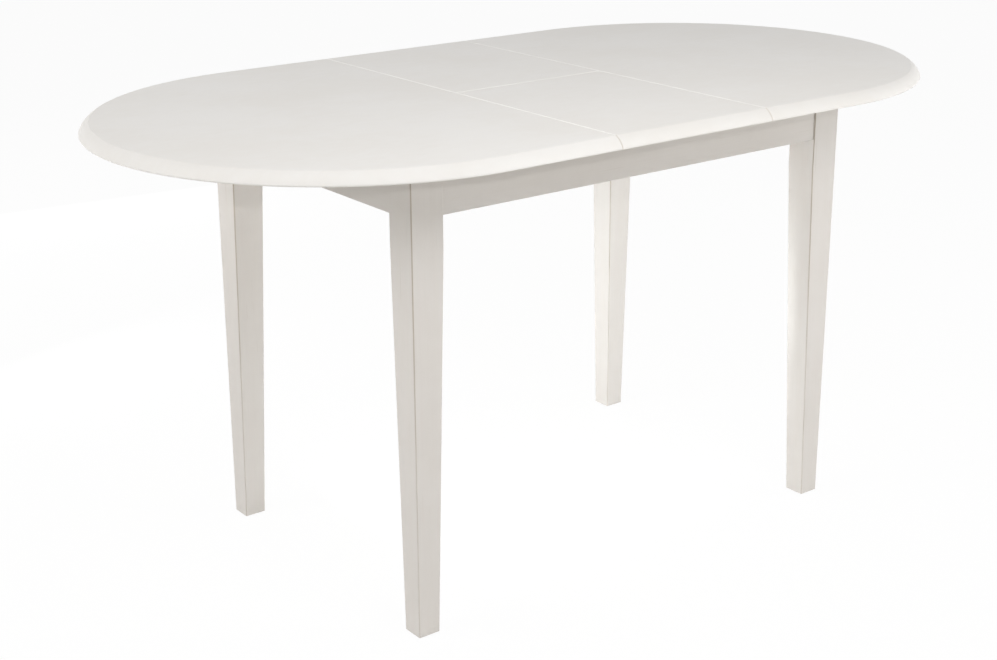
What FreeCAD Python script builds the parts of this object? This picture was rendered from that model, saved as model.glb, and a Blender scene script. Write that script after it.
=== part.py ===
import FreeCAD, Part
import math
import os
import re

import Sketcher

# A dining table whose top opens in the middle for a leaf that folds in half and swings
# down into the frame. X runs along the table, Y towards its back, Z up from the floor.
# Lengths are in millimetres and angles in degrees.

doc = FreeCAD.newDocument("butterfly_leaf_table")

sizes = {
    # top boards and their edge
    "table_length": 1500,
    "table_width": 800,
    "table_height": 750,
    "top_thickness": 18.8,
    "leaf_length": 300,
    "seam_gap": 0.6,
    "fold_gap": 0.6,
    "seam_arris": 0.8,
    "edge_inset": 16,
    "edge_radius": 30,
    "edge_under_round": 2,
    # legs and aprons
    "frame_length": 864,
    "side_overhang": 118,
    "leg_top": 55,
    "leg_foot": 37,
    "leg_block": 130,
    "leg_round": 1.6,
    "apron_height": 82,
    "apron_thickness": 20,
    "apron_setback": 2.5,
    "apron_round": 1.2,
    "slide_clearance": 0.3,
    "overrun": 2,
    # foot glides
    "glide_height": 2,
    "glide_diameter": 24,
    "glide_nail_diameter": 3,
    "glide_nail_length": 16,
    # corner braces and their hanger bolts
    "brace_gap": 4.2,
    "brace_thickness": 25,
    "brace_height": 33,
    "brace_lift": 5.3,
    "bolt_diameter": 8,
    "bolt_depth": 36,
    "bolt_tail": 13,
    "bolt_clearance": 0.4,
    "washer_diameter": 18,
    "washer_thickness": 1.6,
    "nut_diameter": 14.6,
    "nut_height": 6.5,
    # wood screws
    "screw_diameter": 4,
    "screw_head_diameter": 8,
    "screw_head_height": 2.4,
    "screw_head_rise": 0.4,
    "brace_screw_length": 28,
    "brace_screw_inset": 12,
    "brace_screw_bury": 13,
    "rail_screw_length": 34,
    "rail_screw_inset": 36,
    "rail_screw_rise": 5.3,
    "runner_screw_length": 40,
    "runner_screw_bury": 6,
    "runner_screw_inset": 30,
    # slide rails and runners
    "rail_thickness": 20,
    "rail_height": 34,
    "rail_drop": 5.7,
    "rail_end_gap": 1,
    "groove_rise": 10.7,
    "groove_height": 12.6,
    "groove_depth": 12,
    "runner_thickness": 20.5,
    "runner_height": 36,
    "runner_gap": 2,
    "runner_seam_inset": 5,
    "tongue_end_gap": 0.5,
    "slide_travel": 30,
    "buffer_diameter": 9,
    "buffer_height": 1.6,
    "buffer_drop": 18,
    # cross rails under the leaf
    "cross_rail_inset": 31,
    "cross_rail_thickness": 22,
    "cross_rail_height": 33,
    "pad_height": 3.7,
    "pad_length": 40,
    "pad_rail_gap": 89.5,
    "angle_leg": 28,
    "angle_width": 18,
    "angle_gauge": 2,
    "angle_screw_length": 16,
    "angle_screw_place": 18,
    # swing arms, their pivots and the leaf's brackets
    "arm_length": 105.6,
    "arm_rest_angle": 26.3,
    "arm_gauge": 4,
    "arm_end_radius": 10,
    "arm_rail_gap": 3.5,
    "arm_side_gap": 0.5,
    "pin_rail_gap": 24.5,
    "inner_pin_share": 0.35,
    "pin_drop": 12.2,
    "pin_diameter": 8,
    "pin_clearance": 0.05,
    "pin_head_diameter": 12,
    "pin_head_height": 2.2,
    "head_clearance": 0.3,
    "pivot_bolt_depth": 18,
    "bracket_gauge": 3,
    "bracket_flange": 31,
    "bracket_width": 30,
    "bracket_screw_length": 14,
    "bracket_screw_spacing": 14,
    "bracket_screw_inset": 12,
    # concealed barrel hinges in the fold
    "hinge_spacing": 100,
    "barrel_diameter": 12,
    "barrel_length": 24,
    "barrel_slot": 5,
    "barrel_slot_depth": 14,
    "tongue_width": 4.4,
    "hinge_lift": 0.2,
    "tongue_reach": 12.5,
    "tongue_wall": 5.5,
    "tongue_shy": 3.6,
}

# Places worked out from the sizes.
places = {
    "under": "table_height - top_thickness",
    "half_width": "table_width / 2",
    "crease": "table_width / 2 - edge_inset",
    "round_low": "table_width / 2 - edge_under_round",
    "round_side": "table_width / 2 - edge_under_round * (1 - 12 / 13)",
    "round_top": "table_height - top_thickness + edge_under_round * (1 + 5 / 13)",
    "round_centre": "table_length / 2 - table_width / 2",
    "straight_run": "table_length / 2 - table_width / 2 - leaf_length / 2 - seam_gap / 2",
    "leaf_half": "leaf_length / 2 - seam_gap / 2",
    "leaf_span": "leaf_length - seam_gap",
    "fold_face": "fold_gap / 2",
    "frame_top": "table_height - top_thickness - slide_clearance",
    "apron_low": "table_height - top_thickness - slide_clearance - apron_height",
    "apron_in": "apron_setback + apron_thickness",
    "frame_width": "table_width - 2 * side_overhang",
    "leg_in_x": "frame_length / 2 - leg_top",
    "leg_in_y": "frame_width / 2 - leg_top",
    "apron_face_y": "frame_width / 2 - apron_setback - apron_thickness",
    "taper_top": "table_height - top_thickness - slide_clearance - leg_block",
    "brace_low": "apron_low + brace_lift",
    "brace_middle": "apron_low + brace_lift + brace_height / 2",
    "leg_corner": "leg_top * sqrt(2)",
    "brace_near": "leg_top * sqrt(2) + brace_gap",
    "brace_far": "leg_top * sqrt(2) + brace_gap + brace_thickness",
    "brace_near_side": "brace_near * sqrt(2) - apron_in",
    "brace_far_side": "brace_far * sqrt(2) - apron_in",
    "rail_top": "frame_top - rail_drop",
    "rail_low": "frame_top - rail_drop - rail_height",
    "rail_face": "apron_face_y - rail_thickness",
    "rail_end": "leg_in_x - rail_end_gap",
    "rail_screw_spacing": "(rail_end - rail_screw_inset) / 2",
    "groove_low": "rail_low + groove_rise",
    "groove_high": "rail_low + groove_rise + groove_height",
    "groove_end": "rail_face + groove_depth",
    "runner_face": "rail_face - runner_gap",
    "runner_start": "leaf_length / 2 + runner_seam_inset",
    "runner_end": "leg_in_x - buffer_height - slide_clearance - slide_travel",
    "runner_low": "under - runner_height",
    "cross_out": "leaf_length / 2 - cross_rail_inset + cross_rail_thickness",
    "cross_in": "leaf_length / 2 - cross_rail_inset",
    "cross_low": "apron_low + brace_lift",
    "cross_top": "apron_low + brace_lift + cross_rail_height",
    "pad_place": "rail_face - pad_rail_gap",
    "arm_out": "cross_in - arm_rail_gap",
    "arm_in": "cross_in - arm_rail_gap - arm_gauge",
    "cheek_out": "arm_in - arm_side_gap",
    "cheek_in": "arm_in - arm_side_gap - bracket_gauge",
    "outer_pin_place": "rail_face - pin_rail_gap",
    "inner_pin_place": "outer_pin_place * inner_pin_share",
    "pin_level": "under - pin_drop",
    "pivot_level": "pin_level - arm_length * sin(arm_rest_angle)",
    "pivot_back": "arm_length * cos(arm_rest_angle)",
    "barrel_level": "table_height - top_thickness / 2",
    "fold_level": "table_height + hinge_lift",
    "tongue_bore": "tongue_reach - tongue_wall",
    "lip_apex": "table_height - seam_arris - seam_gap / 2",
    "lip_bar": "2 * seam_arris + seam_gap",
    "angle_low": "cross_low + (cross_rail_height - angle_width) / 2",
    "angle_middle": "cross_low + cross_rail_height / 2",
}

sizes_sheet = doc.addObject("Spreadsheet::Sheet", "Sizes")
places_sheet = doc.addObject("Spreadsheet::Sheet", "Places")


def formula(text):
    """Write the sizes and places that a text names as cells of their sheets."""
    def cell(word):
        if word[0] in sizes:
            return "Sizes." + word[0]
        if word[0] in places:
            return "Places." + word[0]
        return word[0]
    return re.sub("[a-z_]+", cell, text)


def fill(sheet, cells):
    for row, (alias, content) in enumerate(cells.items(), start=1):
        sheet.set(f"A{row}", alias)
        sheet.set(f"B{row}", content)
        sheet.setAlias(f"B{row}", alias)


fill(sizes_sheet, {alias: str(value) for alias, value in sizes.items()})
doc.recompute()
fill(places_sheet, {alias: "=" + formula(text).replace("Places.", "") for alias, text in places.items()})
doc.recompute()


def reading(alias):
    """The present value of a size or place."""
    return float(getattr(sizes_sheet if alias in sizes else places_sheet, alias))


along_x = FreeCAD.Vector(1, 0, 0)
along_y = FreeCAD.Vector(0, 1, 0)
along_z = FreeCAD.Vector(0, 0, 1)
half_turn = 180
quarter_turn = half_turn / 2
eighth_turn = quarter_turn / 2
rail_screw_numbers = range(-2, 3)
hinge_numbers = range(-1, 2)
sides = {"left": -1, "right": 1}
faces = {"front": -1, "back": 1}
# In order round the table, a quarter turn each.
corners = {
    "front_left": (-1, -1),
    "front_right": (1, -1),
    "back_right": (1, 1),
    "back_left": (-1, 1),
}
nodes = []


def node(item, label):
    item.Label = label
    nodes.append(item)
    return item


def bind(item, **texts):
    for prop, text in texts.items():
        item.setExpression(prop.replace("__", "."), formula(text))


def place(item, x="0", y="0", z="0"):
    bind(item, Placement__Base__x=x, Placement__Base__y=y, Placement__Base__z=z)
    return item


def turned(item, axis, angle):
    item.Placement = FreeCAD.Placement(FreeCAD.Vector(), FreeCAD.Rotation(axis, angle))
    return item


def aimed(item, towards):
    item.Placement = FreeCAD.Placement(FreeCAD.Vector(), FreeCAD.Rotation(along_z, towards))
    return item


def span(sign, low, high):
    """A stretch between two distances from the middle, on the side that sign gives."""
    return (low, high) if sign > 0 else (f"-({high})", f"-({low})")


def about(middle, width):
    """A stretch of a given width about its middle."""
    return f"{middle} - ({width}) / 2", f"{middle} + ({width}) / 2"


def signed(sign, text):
    return text if sign > 0 else f"-({text})"


def block(name, xs, ys, zs):
    item = doc.addObject("Part::Box", name)
    for side, (low, high) in zip(("Length", "Width", "Height"), (xs, ys, zs)):
        bind(item, **{side: f"({high}) - ({low})"})
    return place(item, xs[0], ys[0], zs[0])


def rod(name, diameter, start, length, towards):
    item = aimed(doc.addObject("Part::Cylinder", name), towards)
    bind(item, Radius=f"({diameter}) / 2", Height=length)
    return place(item, *start)


def join(name, items):
    item = doc.addObject("Part::MultiFuse", name)
    item.Shapes = items
    item.Refine = True
    return item


def group(name, items):
    item = doc.addObject("Part::Compound", name)
    item.Links = items
    return item


def cut(name, base, tools):
    item = doc.addObject("Part::Cut", name)
    item.Base = base
    item.Tool = group(name + "_tools", tools) if len(tools) > 1 else tools[0]
    return item


def screw(name, start, length, towards):
    """A countersunk wood screw, from the outer face of its head."""
    head = aimed(doc.addObject("Part::Cone", name + "_head"), towards)
    bind(head, Radius1="screw_head_diameter / 2", Radius2="screw_diameter / 2", Height="screw_head_height")
    place(head, *start)
    shank = rod(name + "_shank", "screw_diameter", start, length, towards)
    return join(name, [head, shank])


def part_body(name):
    return doc.addObject("PartDesign::Body", name)


def origin_plane(body, role):
    return [feature for feature in body.Origin.OriginFeatures if feature.Role == role][0]


def sketch_on(body, role, name, lift="0"):
    sketch = body.newObject("Sketcher::SketchObject", name)
    sketch.AttachmentSupport = [(origin_plane(body, role), "")]
    sketch.MapMode = "FlatFace"
    bind(sketch, AttachmentOffset__Base__z=lift)
    return sketch


def outline(sketch, points, arcs=()):
    """A closed outline through points named by size or place, 0 standing for an axis.

    arcs maps the number of a side to the size that is its radius, bulging outwards.
    """
    arcs = dict(arcs)
    spots = [FreeCAD.Vector(*[0 if word == "0" else reading(word) for word in point]) for point in points]
    count = len(spots)
    for side, start in enumerate(spots):
        end = spots[(side + 1) % count]
        if side not in arcs:
            sketch.addGeometry(Part.LineSegment(start, end))
            continue
        radius = reading(arcs[side])
        run = end - start
        rise = (radius ** 2 - (run.Length / 2) ** 2) ** 0.5
        centre = (start + end) / 2 + FreeCAD.Vector(-run.y, run.x, 0).normalize() * rise
        angles = [math.atan2(spot.y - centre.y, spot.x - centre.x) for spot in (start, end)]
        circle = Part.Circle(centre, along_z, radius)
        sketch.addGeometry(Part.ArcOfCircle(circle, *angles))
    for side in range(count):
        sketch.addConstraint(Sketcher.Constraint("Coincident", side, 2, (side + 1) % count, 1))
    for side, point in enumerate(points):
        for kind, axis, word in zip(("DistanceX", "DistanceY"), (-2, -1), point):
            if word == "0":
                sketch.addConstraint(Sketcher.Constraint("PointOnObject", side, 1, axis))
                continue
            number = sketch.addConstraint(Sketcher.Constraint(kind, -1, 1, side, 1, reading(word)))
            sketch.setExpression(f"Constraints[{number}]", formula(word))
    for side, radius in arcs.items():
        number = sketch.addConstraint(Sketcher.Constraint("Radius", side, reading(radius)))
        sketch.setExpression(f"Constraints[{number}]", formula(radius))


def pad(body, sketch, name, length, backwards=False):
    item = body.newObject("PartDesign::Pad", name)
    item.Profile = sketch
    item.Reversed = backwards
    bind(item, Length=length)
    return item


def upright(shape, edge):
    """Whether an edge runs up and down rather than across."""
    run = edge.Vertexes[-1].Point - edge.Vertexes[0].Point
    return abs(run.z) > max(abs(run.x), abs(run.y))


def lower_and_long(shape, edge):
    """Whether an edge is one of the two long ones underneath."""
    low = shape.BoundBox.ZMin
    return edge.BoundBox.ZMax - low < edge.Length / 2 and edge.Length > shape.BoundBox.XLength / 2


def soften(body, name, test, radius):
    """Round the edges of a body's last shape that pass a test."""
    doc.recompute()
    tip = body.Tip
    item = body.newObject("PartDesign::Fillet", name)
    item.Base = (tip, [f"Edge{number}" for number, edge in enumerate(tip.Shape.Edges, start=1)
                       if test(tip.Shape, edge)])
    bind(item, Radius=radius)
    return item


# Half of the board's section: flat underneath, rounded under, then a convex edge up to a crease.
def board_section(body, name, inner, lift="0"):
    sketch = sketch_on(body, "YZ_Plane", name, lift)
    points = [(inner, "under"), ("round_low", "under"), ("round_side", "round_top"),
              ("crease", "table_height"), (inner, "table_height")]
    outline(sketch, points, {1: "edge_under_round", 2: "edge_radius"})
    return sketch


# Ends of the top: a straight run from the seam and a half round about its own centre.
def end_board(side, sign):
    body = part_body(f"{side}_end_board")
    section = board_section(body, f"{side}_end_section", "0")
    pad(body, section, f"{side}_end_run", "straight_run", backwards=True)
    doc.recompute()
    twin = body.newObject("PartDesign::Mirrored", f"{side}_end_twin")
    twin.Originals = [body.Tip]
    twin.MirrorPlane = (origin_plane(body, "XZ_Plane"), [""])
    body.Tip = twin
    doc.recompute()
    sweep = body.newObject("PartDesign::Revolution", f"{side}_end_round")
    sweep.Profile = section
    sweep.ReferenceAxis = (section, ["V_Axis"])
    sweep.Angle = half_turn
    sweep.Reversed = True
    turned(body, along_z, half_turn if sign < 0 else 0)
    return place(body, signed(sign, "round_centre"))


# Leaf halves: one section drawn along X, with the fold on its straight side.
def leaf_board(face, sign):
    body = part_body(f"leaf_{face}_board")
    section = board_section(body, f"leaf_{face}_section", "fold_face", "-leaf_half")
    pad(body, section, f"leaf_{face}_run", "leaf_span")
    turned(body, along_z, half_turn if sign < 0 else 0)
    return place(body)


# The softened lips of a seam: a square bar on its corner, sunk along the joint.
def lip_groove(name, axis, turn, x, y, length_side, length):
    bar = turned(doc.addObject("Part::Box", name), axis, turn)
    bind(bar, Length="lip_bar", Width="lip_bar", Height="lip_bar")
    bind(bar, **{length_side: length})
    return place(bar, x, y, "lip_apex")


def seam_groove(name, sign):
    return lip_groove(name, along_y, -eighth_turn, signed(sign, "leaf_length / 2"), "-half_width",
                      "Width", "table_width")


def fold_groove(name):
    return lip_groove(name, along_x, eighth_turn, "-leaf_half", "0", "Length", "leaf_span")


# Legs: square at the top, tapering on the two inner faces only.
def leg_wood(corner, sign_x, sign_y, turns):
    body = part_body(f"leg_{corner}_wood")
    foot = sketch_on(body, "XY_Plane", f"leg_{corner}_foot", "glide_height")
    outline(foot, [("0", "0"), ("leg_foot", "0"), ("leg_foot", "leg_foot"), ("0", "leg_foot")])
    knee = sketch_on(body, "XY_Plane", f"leg_{corner}_knee", "taper_top")
    outline(knee, [("0", "0"), ("leg_top", "0"), ("leg_top", "leg_top"), ("0", "leg_top")])
    taper = body.newObject("PartDesign::AdditiveLoft", f"leg_{corner}_taper")
    taper.Profile = foot
    taper.Sections = [knee]
    doc.recompute()
    pad(body, knee, f"leg_{corner}_block", "leg_block")
    soften(body, f"leg_{corner}_arris", upright, "leg_round")
    turned(body, along_z, turns * quarter_turn)
    return place(body, signed(sign_x, "frame_length / 2"), signed(sign_y, "frame_width / 2"))


# Aprons: plain boards between the legs, with their two lower edges eased.
def apron_wood(name, length, inset, turns):
    body = part_body(f"{name}_wood")
    board = body.newObject("PartDesign::AdditiveBox", f"{name}_board")
    bind(board, Length=length, Width="apron_thickness", Height="apron_height")
    place(board, f"-({length}) / 2", f"-({inset})", "apron_low")
    soften(body, f"{name}_arris", lower_and_long, "apron_round")
    return place(turned(body, along_z, turns * quarter_turn))


# Corner braces: bars set across the corner between two aprons.
def brace_wood(corner, sign_x, sign_y, turns):
    body = part_body(f"brace_{corner}_wood")
    plan = sketch_on(body, "XY_Plane", f"brace_{corner}_plan", "brace_low")
    outline(plan, [("apron_in", "brace_near_side"), ("brace_near_side", "apron_in"),
                   ("brace_far_side", "apron_in"), ("apron_in", "brace_far_side")])
    pad(body, plan, f"brace_{corner}_bar", "brace_height")
    turned(body, along_z, turns * quarter_turn)
    return place(body, signed(sign_x, "frame_length / 2"), signed(sign_y, "frame_width / 2"))


def from_corner(sign_x, sign_y, x, y):
    """A spot given by its distances in from the outer faces of a leg."""
    return signed(sign_x, f"frame_length / 2 - ({x})"), signed(sign_y, f"frame_width / 2 - ({y})")


def on_diagonal(sign_x, sign_y, reach):
    return from_corner(sign_x, sign_y, f"({reach}) / sqrt(2)", f"({reach}) / sqrt(2)")


# Frame corners: leg, glide, brace, hanger bolt, washer, nut and the brace's screws.
bolts, washers, nuts, brace_screws = [], [], [], []
apron_screws = {name: [] for name in ("front", "back", "left", "right")}
for turns, (corner, (sign_x, sign_y)) in enumerate(corners.items()):
    inward = FreeCAD.Vector(-sign_x, -sign_y, 0)
    bolt_spot = (*on_diagonal(sign_x, sign_y, "leg_corner - bolt_depth"), "brace_middle")
    bolt = rod(f"bolt_{corner}", "bolt_diameter", bolt_spot,
               "bolt_depth + brace_gap + brace_thickness + bolt_tail", inward)
    bolt_way = rod(f"bolt_way_{corner}", "bolt_diameter + 2 * bolt_clearance", bolt_spot,
                   "bolt_depth + brace_gap + brace_thickness + bolt_tail", inward)
    washer_spot = (*on_diagonal(sign_x, sign_y, "brace_far"), "brace_middle")
    washer = cut(f"washer_{corner}", rod(f"washer_disc_{corner}", "washer_diameter", washer_spot,
                                         "washer_thickness", inward), [bolt])
    nut_spot = (*on_diagonal(sign_x, sign_y, "brace_far + washer_thickness"), "brace_middle")
    nut_hex = aimed(doc.addObject("Part::Prism", f"nut_hex_{corner}"), inward)
    bind(nut_hex, Circumradius="nut_diameter / 2", Height="nut_height")
    nut = cut(f"nut_{corner}", place(nut_hex, *nut_spot), [bolt])
    bolts.append(bolt)
    washers.append(washer)
    nuts.append(nut)

    head_place = "apron_in + brace_screw_bury"
    bored = [bolt_way]
    for apron, towards, spot in (
            ("left" if sign_x < 0 else "right", FreeCAD.Vector(sign_x, 0, 0),
             from_corner(sign_x, sign_y, head_place, "brace_near_side + brace_screw_inset")),
            ("front" if sign_y < 0 else "back", FreeCAD.Vector(0, sign_y, 0),
             from_corner(sign_x, sign_y, "brace_near_side + brace_screw_inset", head_place))):
        start = (*spot, "brace_middle")
        tie = screw(f"brace_screw_{corner}_{apron}", start, "brace_screw_length", towards)
        well = rod(f"brace_well_{corner}_{apron}", "screw_head_diameter", start,
                   "brace_thickness", -towards)
        brace_screws.append(tie)
        apron_screws[apron].append(tie)
        bored += [tie, well]
    node(cut(f"brace_{corner}", brace_wood(corner, sign_x, sign_y, turns), bored), f"corner_brace_{corner}")

    foot_spot = from_corner(sign_x, sign_y, "leg_foot / 2", "leg_foot / 2")
    nail = rod(f"glide_nail_{corner}", "glide_nail_diameter", (*foot_spot, "0"),
               "glide_nail_length", along_z)
    disc = rod(f"glide_disc_{corner}", "glide_diameter", (*foot_spot, "0"), "glide_height", along_z)
    node(join(f"glide_{corner}", [disc, nail]), f"foot_glide_{corner}")
    wood = leg_wood(corner, sign_x, sign_y, turns)
    node(cut(f"leg_{corner}", wood, [bolt, nail]), f"leg_{corner}")
node(group("hanger_bolts", bolts), "leg_hanger_bolts")
node(group("bolt_washers", washers), "leg_bolt_washers")
node(group("bolt_nuts", nuts), "leg_bolt_nuts")
node(group("brace_ties", brace_screws), "corner_brace_screws")

# Slide rails along the long aprons, each with a groove for the tongues of the runners.
rail_screws = []
for face, sign in faces.items():
    wood = block(f"rail_{face}_wood", ("-rail_end", "rail_end"), span(sign, "rail_face", "apron_face_y"),
                 ("rail_low", "rail_top"))
    groove = block(f"rail_{face}_groove", ("-rail_end - overrun", "rail_end + overrun"),
                   span(sign, "rail_face - overrun", "groove_end"), ("groove_low", "groove_high"))
    ties = []
    for number in rail_screw_numbers:
        start = (f"{number} * rail_screw_spacing", signed(sign, "rail_face"), "rail_low + rail_screw_rise")
        ties.append(screw(f"rail_{face}_screw_{number}", start, "rail_screw_length", along_y * sign))
    rail_screws += ties
    apron_screws[face] += ties
    node(cut(f"rail_{face}", wood, [groove] + ties), f"slide_rail_{face}")
node(group("rail_ties", rail_screws), "slide_rail_screws")

# Ends of the top, with their runners; each tongue runs in its rail's groove.
buffers = []
for side, sign in sides.items():
    end_screws = []
    for face, facing in faces.items():
        name = f"{side}_{face}_runner"
        bar = block(f"{name}_bar", span(sign, "runner_start", "runner_end"),
                    span(facing, "runner_face - runner_thickness", "runner_face"), ("runner_low", "under"))
        tongue = block(f"{name}_tongue", span(sign, "runner_start", "runner_end"),
                       span(facing, "runner_face", "groove_end - tongue_end_gap"),
                       ("groove_low + slide_clearance", "groove_high - slide_clearance"))
        ties = []
        wells = []
        for spot in ("runner_start + runner_screw_inset", "runner_end - runner_screw_inset"):
            number = len(end_screws)
            middle = signed(facing, "runner_face - runner_thickness / 2")
            start = (signed(sign, spot), middle, "runner_low + runner_screw_bury")
            tie = screw(f"{side}_runner_screw_{number}", start, "runner_screw_length", along_z)
            wells.append(rod(f"{side}_runner_well_{number}", "screw_head_diameter", start,
                             "runner_screw_bury", -along_z))
            ties.append(tie)
            end_screws.append(tie)
        node(cut(name, join(f"{name}_wood", [bar, tongue]), ties + wells), f"runner_{side}_{face}")
        stop = (signed(sign, "leg_in_x"), signed(facing, "leg_in_y + buffer_diameter / 2"),
                "under - buffer_drop")
        buffers.append(rod(f"{side}_{face}_buffer", "buffer_diameter", stop,
                           "buffer_height", -along_x * sign))
    board = end_board(side, sign)
    node(cut(f"{side}_end", board, [seam_groove(f"{side}_end_lip", sign)] + end_screws), f"top_end_{side}")
    node(group(f"{side}_runner_ties", end_screws), f"runner_screws_{side}")
node(group("slide_buffers", buffers), "slide_buffers")

# Cross rails under the leaf, held to the long aprons by steel angles, with the arms' pivot bolts.
pivot_bolts, angles, angle_screws, pads = [], [], [], []
for side, sign in sides.items():
    wood = block(f"cross_{side}_wood", span(sign, "cross_in", "cross_out"),
                 ("-apron_face_y", "apron_face_y"), ("cross_low", "cross_top"))
    bored = []
    for arm in ("inner", "outer"):
        name = f"{side}_{arm}_pivot"
        level = (f"{arm}_pin_place - pivot_back", "pivot_level")
        head = rod(f"{name}_head", "pin_head_diameter",
                   (signed(sign, "arm_in - head_clearance"), *level), "pin_head_height", -along_x * sign)
        shank = rod(f"{name}_shank", "pin_diameter", (signed(sign, "arm_in - head_clearance"), *level),
                    "head_clearance + arm_gauge + arm_rail_gap + pivot_bolt_depth", along_x * sign)
        collar = rod(f"{name}_collar", "pin_head_diameter",
                     (signed(sign, "arm_out + head_clearance"), *level),
                     "arm_rail_gap - head_clearance", along_x * sign)
        pivot = join(name, [head, shank, collar])
        pivot_bolts.append(pivot)
        bored.append(pivot)
    for face, facing in faces.items():
        name = f"{side}_{face}_angle"
        on_apron = block(f"{name}_apron_leg", span(sign, "cross_out", "cross_out + angle_leg"),
                         span(facing, "apron_face_y - angle_gauge", "apron_face_y"),
                         ("angle_low", "angle_low + angle_width"))
        on_rail = block(f"{name}_rail_leg", span(sign, "cross_out", "cross_out + angle_gauge"),
                        span(facing, "apron_face_y - angle_leg", "apron_face_y"),
                        ("angle_low", "angle_low + angle_width"))
        apron_tie = screw(f"{name}_apron_screw",
                          (signed(sign, "cross_out + angle_screw_place"),
                           signed(facing, "apron_face_y - angle_gauge - screw_head_rise"), "angle_middle"),
                          "angle_screw_length", along_y * facing)
        rail_tie = screw(f"{name}_rail_screw",
                         (signed(sign, "cross_out + angle_gauge + screw_head_rise"),
                          signed(facing, "apron_face_y - angle_screw_place"), "angle_middle"),
                         "angle_screw_length", -along_x * sign)
        angles.append(cut(name, join(f"{name}_plate", [on_apron, on_rail]), [apron_tie, rail_tie]))
        angle_screws += [apron_tie, rail_tie]
        apron_screws[face].append(apron_tie)
        bored.append(rail_tie)
        pads.append(block(f"{side}_{face}_pad", span(sign, "cross_in", "cross_out"),
                          span(facing, *about("pad_place", "pad_length")),
                          ("cross_top", "cross_top + pad_height")))
    node(cut(f"cross_{side}", wood, bored), f"cross_rail_{side}")
node(group("cross_angles", angles), "cross_rail_angles")
node(group("angle_ties", angle_screws), "cross_rail_screws")
node(group("arm_pivots", pivot_bolts), "arm_pivot_bolts")
node(group("leaf_pads", pads), "leaf_rest_pads")

# Aprons, bored for the screws that enter them.
long_run = ("2 * leg_in_x", "frame_width / 2 - apron_setback")
short_run = ("2 * leg_in_y", "frame_length / 2 - apron_setback")
runs = {"front": long_run, "right": short_run, "back": long_run, "left": short_run}
for turns, (name, (length, inset)) in enumerate(runs.items()):
    wood = apron_wood(f"apron_{name}", length, inset, turns)
    node(cut(f"apron_{name}_bored", wood, apron_screws[name]), f"apron_{name}")

# Swing arms: flat bars with round ends, turned up from the frame pivot to the leaf's pin.
def swing_arm(side, sign, arm):
    name = f"{arm}_arm_{side}"
    body = part_body(f"{name}_bar")
    bar = body.newObject("PartDesign::AdditiveBox", f"{name}_flat")
    bind(bar, Length="arm_gauge", Width="arm_length", Height="2 * arm_end_radius",
         Placement__Base__z="-arm_end_radius")
    doc.recompute()
    eye_size = "pin_diameter / 2 + pin_clearance"
    for kind, radius, spot in (("AdditiveCylinder", "arm_end_radius", "0"),
                               ("AdditiveCylinder", "arm_end_radius", "arm_length"),
                               ("SubtractiveCylinder", eye_size, "0"),
                               ("SubtractiveCylinder", eye_size, "arm_length")):
        eye = aimed(body.newObject("PartDesign::" + kind, f"{name}_eye"), along_x)
        bind(eye, Radius=radius, Height="arm_gauge", Placement__Base__y=spot)
        doc.recompute()
    turned(body, along_x, reading("arm_rest_angle"))
    bind(body, Placement__Rotation__Angle="arm_rest_angle")
    place(body, "arm_in" if sign > 0 else "-arm_out", f"{arm}_pin_place - pivot_back", "pivot_level")
    return node(body, name)


# Leaf brackets: a flange screwed under the back half of the leaf and a cheek that holds the arm's pin.
def leaf_bracket(side, sign, arm):
    name = f"{side}_{arm}_bracket"
    pin_place = f"{arm}_pin_place"
    flange = block(f"{name}_flange", span(sign, "cheek_out - bracket_flange", "cheek_out"),
                   about(pin_place, "bracket_width"), ("under - bracket_gauge", "under"))
    cheek = block(f"{name}_cheek", span(sign, "cheek_in", "cheek_out"),
                  about(pin_place, "2 * arm_end_radius"), ("pin_level", "under"))
    nose = rod(f"{name}_nose", "2 * arm_end_radius", (signed(sign, "cheek_in"), pin_place, "pin_level"),
               "bracket_gauge", along_x * sign)
    shank = rod(f"{name}_shank", "pin_diameter", (signed(sign, "cheek_in"), pin_place, "pin_level"),
                "bracket_gauge + arm_side_gap + arm_gauge + head_clearance", along_x * sign)
    head = rod(f"{name}_head", "pin_head_diameter",
               (signed(sign, "arm_out + head_clearance"), pin_place, "pin_level"), "pin_head_height",
               along_x * sign)
    pin = join(f"{name}_pin", [shank, head])
    ties = [screw(f"{name}_screw_{number}",
                  (signed(sign, "cheek_out - bracket_flange + bracket_screw_inset"),
                   f"{pin_place} + ({number} - 1 / 2) * bracket_screw_spacing",
                   "under - bracket_gauge"), "bracket_screw_length", along_z)
            for number in range(2)]
    plate = cut(name, join(f"{name}_plate", [flange, cheek, nose]), [pin] + ties)
    return node(plate, f"leaf_bracket_{arm}_{side}"), pin, ties


leaf_pins, leaf_screws = [], []
for side, sign in sides.items():
    for arm in ("inner", "outer"):
        swing_arm(side, sign, arm)
        plate, pin, ties = leaf_bracket(side, sign, arm)
        leaf_pins.append(pin)
        leaf_screws += ties
node(group("bracket_pins", leaf_pins), "leaf_bracket_pins")
node(group("bracket_ties", leaf_screws), "leaf_bracket_screws")

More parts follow.
